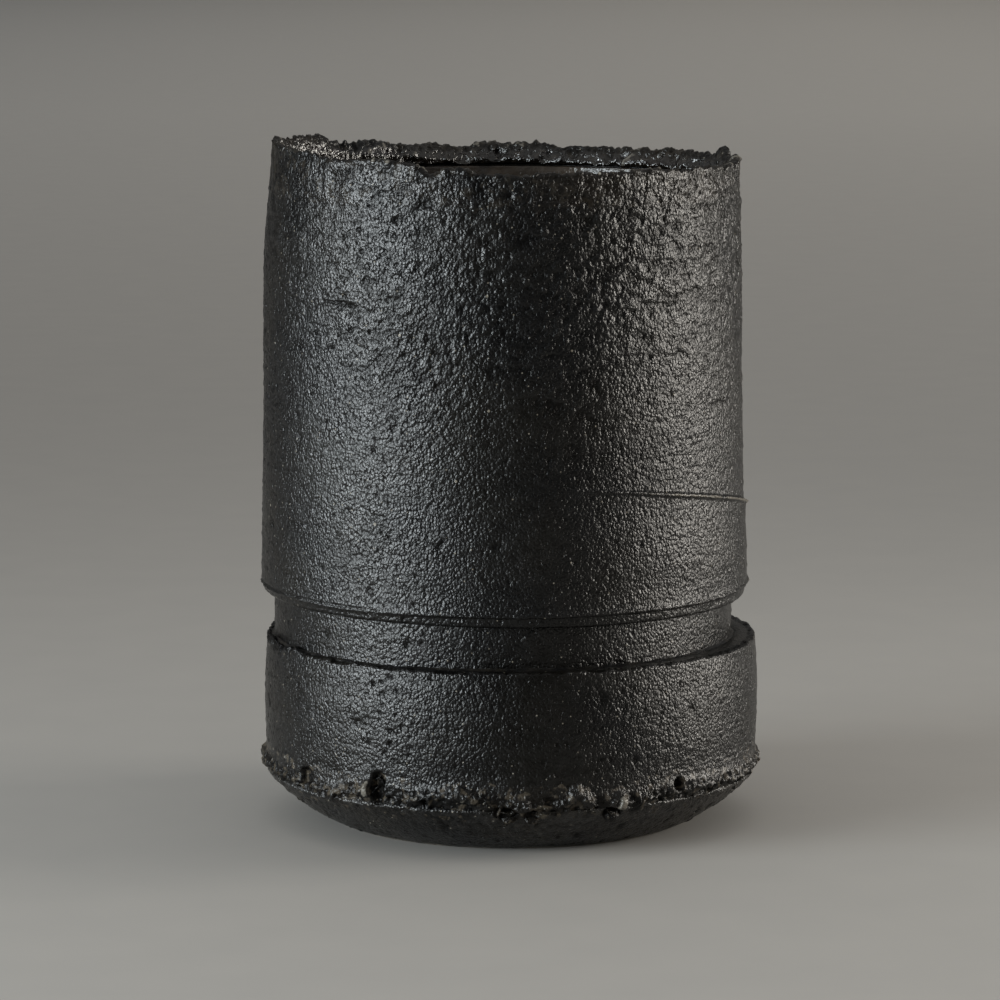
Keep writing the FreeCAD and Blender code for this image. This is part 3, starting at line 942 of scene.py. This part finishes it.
def rim_relief(points, angle):
    """The wall's surface outside, broken clay on top, and a ragged hollow under the lip at the back left."""
    depth = cad_rim_top(angle[0]) - points[..., 2]
    radius = radius_of(points, UPPER_AXIS) + drawn_in(points, angle)
    outside = step_up(radius, *RIM_FACE)
    broken = np.maximum((1 - outside) * (1 - step_up(depth, 4.8, 5.8)), 1 - step_up(depth, 0.0, 0.8))
    under = (1 - outside) * bump(depth, 6.0, 1.0)
    hollow = 1.0 * facing(angle, math.radians(128), 0.6) + 0.8 * noise(points, 7, 123)
    pooled = (1 - outside) * facing(angle, math.radians(48), 0.75) * step_up(depth, 1.0, 2.5)
    torn_clay = (1.1 * crumbled(points, 121) - 0.5) * (1 - 0.4 * pooled)
    torn_clay = torn_clay + 1.1 * pooled * noise(points, 3.6, 122)
    surface = body_relief(points, angle) * (1 - 0.5 * broken) + broken * torn_clay
    return surface - under * np.clip(hollow, 0, 1.6) * (1 - pooled)


# Lumps that stand up along the rim: direction in degrees, height, half width in degrees.
PEAKS = [(15, 2.4, 3.5), (65, 0.8, 5), (102, -0.8, 4), (127, 0.7, 3), (144, 1.4, 3.5), (156, 0.8, 3),
         (240, 0.6, 4), (247, 0.7, 3), (253, -2.4, 2.2), (259, 0.9, 4)]


def rim_shape(points, angle):
    """Follow the CAD rim's height, with nicks and torn peaks along the top and one chip at the front."""
    low, high = rim_low[2], points[..., 2].max()
    share = np.clip((points[..., 2] - low) / (high - low), 0, 1)
    circle = ring(angle, rim_high[0])
    ragged = 0.5 * noise(circle, 12, 124) + 0.55 * noise(circle, 4.5, 125) + 0.4 * noise(circle, 2, 126)
    back = 0.55 + 0.45 * np.sin(angle)
    ragged *= 0.6 + 0.8 * back
    for centre, height, width in PEAKS:
        ragged = ragged + height * facing(angle, math.radians(centre), math.radians(width))
    lift = share * (cad_rim_top(angle) + ragged - high)
    lap = step_up(WALL_TOP - points[..., 2], 0.5, 3)
    lift = lift + lap * 1.6 * noise(circle, 6, 129)
    inner = 1 - step_up(radius_of(points, UPPER_AXIS), *RIM_SAG)
    sag = inner * bump(share, 0.35, 0.3) * (1.2 * noise(circle, 9, 127) + 0.9 * noise(circle, 3, 128))
    points[..., 2] += lift + sag
    return bend_wall(points, angle)


def make_rim():
    """The torn rim laps a few millimetres down over the wall in the wall's own surface, so no seam shows.
    Inside, a lumpy lip overhangs a recess that carries the bore's surface up."""
    wall = cad_section("body_wall", UPPER_AXIS)
    wall = wall[(wall[:, 0] > NECK_RADIUS + 0.5) & (wall[:, 1] > SKIRT_FOOT + 20)]
    lap = [(np.interp(WALL_TOP - drop, wall[:, 1], wall[:, 0]) + out, WALL_TOP - drop)
           for drop, out in ((6, -1.5), (6, -0.4), (3.5, 0.04), (1.5, 0.04))]
    crown = cad_section("torn_rim", UPPER_AXIS)
    out, inner, top = crown[:, 0].max(), crown[:, 0].min(), crown[:, 1].max()
    crest = [(out, top - 0.6), (out - 0.6, top - 0.05), (out - 1.5, top - 0.35), (inner + 3.4, top - 1.7),
             (inner + 2.5, top - 2.9), (inner + 1.7, top - 3.8), (inner + 1.0, top - 4.5),
             (inner + 0.4, top - 5.1)]
    recess = [(inner + 0.3, top - 5.8), (inner + 0.35, rim_low[2] + 0.5), (inner + 2.5, rim_low[2])]
    line = spaced(np.array(lap + crest + recess), True, lambda r, z: True)
    stations = with_axis(line, UPPER_AXIS, 1.0)
    piece = lathe("torn_rim_clay", stations, TORN_COLUMNS, rim_relief, shape=rim_shape)
    store(piece, "inside", 1 - step_up(radius_of(corners(piece.data), UPPER_AXIS), *RIM_GLAZE))
    finish_piece(piece, torn, "torn_rim")


def slip_relief(points, angle):
    return 0.25 * noise(points, 5, 131) + 0.15 * noise(points, 2, 132)


def make_slip_fillet(node, height, up, size):
    """A thin uneven fillet of slip where the neck band meets the part above or below it."""
    inner = NECK_RADIUS - 0.5
    outline = [(0, -0.8), (1.9, -0.4), (1.5, 0.1), (0.8, 0.35), (0.5, 0.8), (0, 1.3)][::up]
    outline = [(inner + out * size, height + rise * size * up) for out, rise in outline]
    stations = with_axis(spaced(np.array(outline), True, lambda r, z: True), UPPER_AXIS, size)
    piece = lathe(node + "_fillet", stations, FILLET_COLUMNS, slip_relief)
    finish_piece(piece, slip, node)


def make_slip_ring(node, axis, outer):
    """Slip that is squeezed flat inside a joint."""
    low, high = node_box(node)
    outline = [(outer - 3.5, low[2]), (outer, low[2]), (outer, high[2]), (outer - 3.5, high[2])]
    line = spaced(np.array(outline), True, lambda r, z: r > outer - 0.2)
    stations = with_axis(line, axis, lambda r, z: r > outer - 0.2)
    piece = lathe(node + "_ring", stations, SLIP_COLUMNS, slip_relief)
    finish_piece(piece, slip, node)


make_body()
make_neck()
make_collar()
make_foot()
make_bead()
make_liner()
make_rim()
make_slip_fillet("slip_collar_joint", LEDGE, 1, 0.8)
make_slip_fillet("slip_skirt_joint", SKIRT_FOOT + 0.6, -1, 0.5)
make_slip_ring("slip_rim_joint", UPPER_AXIS, rim_high[0] - UPPER_AXIS - 1.2)
make_slip_ring("slip_foot_joint", BASE_AXIS, node_box("slip_foot_joint")[1][0] - 0.4)
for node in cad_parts.values():
    node.data.materials.clear()
    node.data.materials.append(slip)


# ---- floor, light and camera ----

# The sheet's colours at the left and at the right, near the vase and far away, and mirrored in the glaze.
# The right is painted paler and warmer than the left, and the far sheet paler than the near, as painted
# light; the mirrored colour is a painted dark reflection.
NEAR_SHEET_WITH_PAINTED_LIGHT = (0.188, 0.186, 0.179), (0.262, 0.250, 0.232)
FAR_SHEET_WITH_PAINTED_LIGHT = (0.226, 0.223, 0.215), (0.322, 0.307, 0.285)
MIRRORED_SHEET_PAINTED_DARK = (0.03, 0.03, 0.028)


def make_floor():
    """A round sheet that is flat under the vase and curves up far away, so no edge or horizon shows.
    Its colour is painted paler to the right and far away, as painted light. Mirrored in the glaze it is
    painted darker before and beside the vase, a painted reflection as if the room had dark walls."""
    flat, curve, lift = 11000, 3000, 2000
    bend = [(flat + curve * math.sin(a), curve * (1 - math.cos(a))) for a in np.linspace(0, math.pi / 2, 24)]
    line = [(radius, 0) for radius in (1, 60, 200, 600, 1500, 3000, 6000)] + bend
    line += [(flat + curve, curve + lift)]
    angle = np.arange(96) * TURN / 96
    points = np.array([[(r * math.cos(a), r * math.sin(a), z) for a in angle] for r, z in line])
    vertices = points.reshape(-1, 3) * METRES
    index = np.arange(len(vertices)).reshape(len(line), -1)
    quads = np.stack([index[:-1], np.roll(index[:-1], -1, 1), np.roll(index[1:], -1, 1), index[1:]], -1)
    mesh = bpy.data.meshes.new("floor")
    mesh.from_pydata(vertices.tolist(), [], quads[:, :, ::-1].reshape(-1, 4).tolist() + [index[0].tolist()])
    mesh.shade_smooth()
    floor = bpy.data.objects.new("floor", mesh)
    bpy.context.scene.collection.objects.link(floor)
    n = Nodes("floor_paper")
    split = n.axes()
    # Painted light: the sheet turns paler and warmer towards the right.
    across = n.sum(n.sum(split.outputs["X"], 0.5, "MULTIPLY"), 0.5)
    mottle = n.sum(across, n.sum(n.noise(30, 4), 0.25, "MULTIPLY"))
    sheet = n.ramp(mottle, (0.0, NEAR_SHEET_WITH_PAINTED_LIGHT[0]), (1.0, NEAR_SHEET_WITH_PAINTED_LIGHT[1]))
    aside = n.sum(split.outputs["X"], 0, "ABSOLUTE")
    sideways = n.sum(aside, n.sum(split.outputs["Y"], 0.2, "MULTIPLY"), "SUBTRACT")
    beside = n.ramp(n.sum(sideways, 0.5, "MULTIPLY"), (0.34, 0.0), (0.60, 0.55))
    before = n.ramp(n.sum(split.outputs["Y"], 1.0), (0.25, 0.85), (0.55, 0.0))
    # Painted reflection: glossy rays see the sheet dark before and beside the vase.
    mirrored = n.add("ShaderNodeLightPath").outputs["Is Glossy Ray"]
    edge = n.sum(n.sum(beside, before, "MAXIMUM"), mirrored, "MULTIPLY")
    # Painted light: the sheet far behind the vase is painted paler.
    pale = n.ramp(mottle, (0.0, FAR_SHEET_WITH_PAINTED_LIGHT[0]), (1.0, FAR_SHEET_WITH_PAINTED_LIGHT[1]))
    far = n.ramp(n.sum(split.outputs["Y"], 0.1, "MULTIPLY"), (0.06, 0.0), (0.45, 1.0))
    n.join(n.mix(edge, n.mix(far, sheet, pale), MIRRORED_SHEET_PAINTED_DARK), n.shader.inputs["Base Color"])
    n.shader.inputs["Roughness"].default_value = 0.8
    floor.data.materials.append(n.material)


def area_light(name, place, target, size, power, colour):
    """A lamp seen only by its light. Place, target and size are in metres, power is in watts."""
    light = bpy.data.lights.new(name, "AREA")
    light.shape = "RECTANGLE"
    light.size, light.size_y = size
    light.energy = power
    light.color = colour
    light.spread = math.radians(90)
    lamp = bpy.data.objects.new(name, light)
    lamp.location = place
    lamp.rotation_euler = (Vector(target) - Vector(place)).to_track_quat("-Z", "Y").to_euler()
    lamp.visible_camera = False
    bpy.context.scene.collection.objects.link(lamp)


MIRRORED_SKY = 0.3  # how strongly the glaze mirrors the sky


def make_lights():
    """Two soft boxes beside the vase that reach down to the floor, under a pale sky with a dark edge."""
    area_light("left_box", (-1.26, -0.68, 0.32), (0, -0.22, 0.22), (0.93, 0.62),
               power=11.4, colour=(0.90, 0.97, 1.0))
    area_light("right_box", (1.35, 0.10, 0.32), (0, -0.25, 0.22), (0.7, 0.62),
               power=6.05, colour=(1.0, 0.95, 0.87))
    world = bpy.data.worlds.new("room")
    world.use_nodes = True
    tree = world.node_tree
    direction = tree.nodes.new("ShaderNodeTexCoord").outputs["Generated"]
    split = tree.nodes.new("ShaderNodeSeparateXYZ")
    tree.links.new(direction, split.inputs[0])
    sky = tree.nodes.new("ShaderNodeValToRGB")
    sky.color_ramp.elements[0].position, sky.color_ramp.elements[0].color = 0.10, (0.05, 0.05, 0.05, 1)
    sky.color_ramp.elements[1].position, sky.color_ramp.elements[1].color = 0.60, (0.97, 0.96, 0.935, 1)
    tree.links.new(split.outputs["Z"], sky.inputs["Fac"])
    tree.links.new(sky.outputs["Color"], tree.nodes["Background"].inputs["Color"])
    mirrored = tree.nodes.new("ShaderNodeMapRange")
    mirrored.inputs["To Min"].default_value, mirrored.inputs["To Max"].default_value = 1.0, MIRRORED_SKY
    tree.links.new(tree.nodes.new("ShaderNodeLightPath").outputs["Is Glossy Ray"], mirrored.inputs["Value"])
    tree.links.new(mirrored.outputs["Result"], tree.nodes["Background"].inputs["Strength"])
    bpy.context.scene.world = world


CAMERA_HEIGHT = 1.42  # as a multiple of the rim's height at the front
CAMERA_DISTANCE = 6.67  # the same
CAMERA_LENS = 159  # millimetres
CAMERA_TILT = 8.0  # degrees below the horizon
CAMERA_SIDE = -3.7  # millimetres to the left


def make_camera():
    data = bpy.data.cameras.new("camera")
    data.lens = CAMERA_LENS
    camera = bpy.data.objects.new("camera", data)
    rim = cad_rim_top(FRONT) * METRES
    camera.location = (CAMERA_SIDE * METRES, -CAMERA_DISTANCE * rim, CAMERA_HEIGHT * rim)
    camera.rotation_euler = (math.radians(90 - CAMERA_TILT), 0, 0)
    bpy.context.scene.collection.objects.link(camera)
    bpy.context.scene.camera = camera


make_floor()
make_lights()
make_camera()
bpy.context.scene.view_settings.view_transform = "Standard"
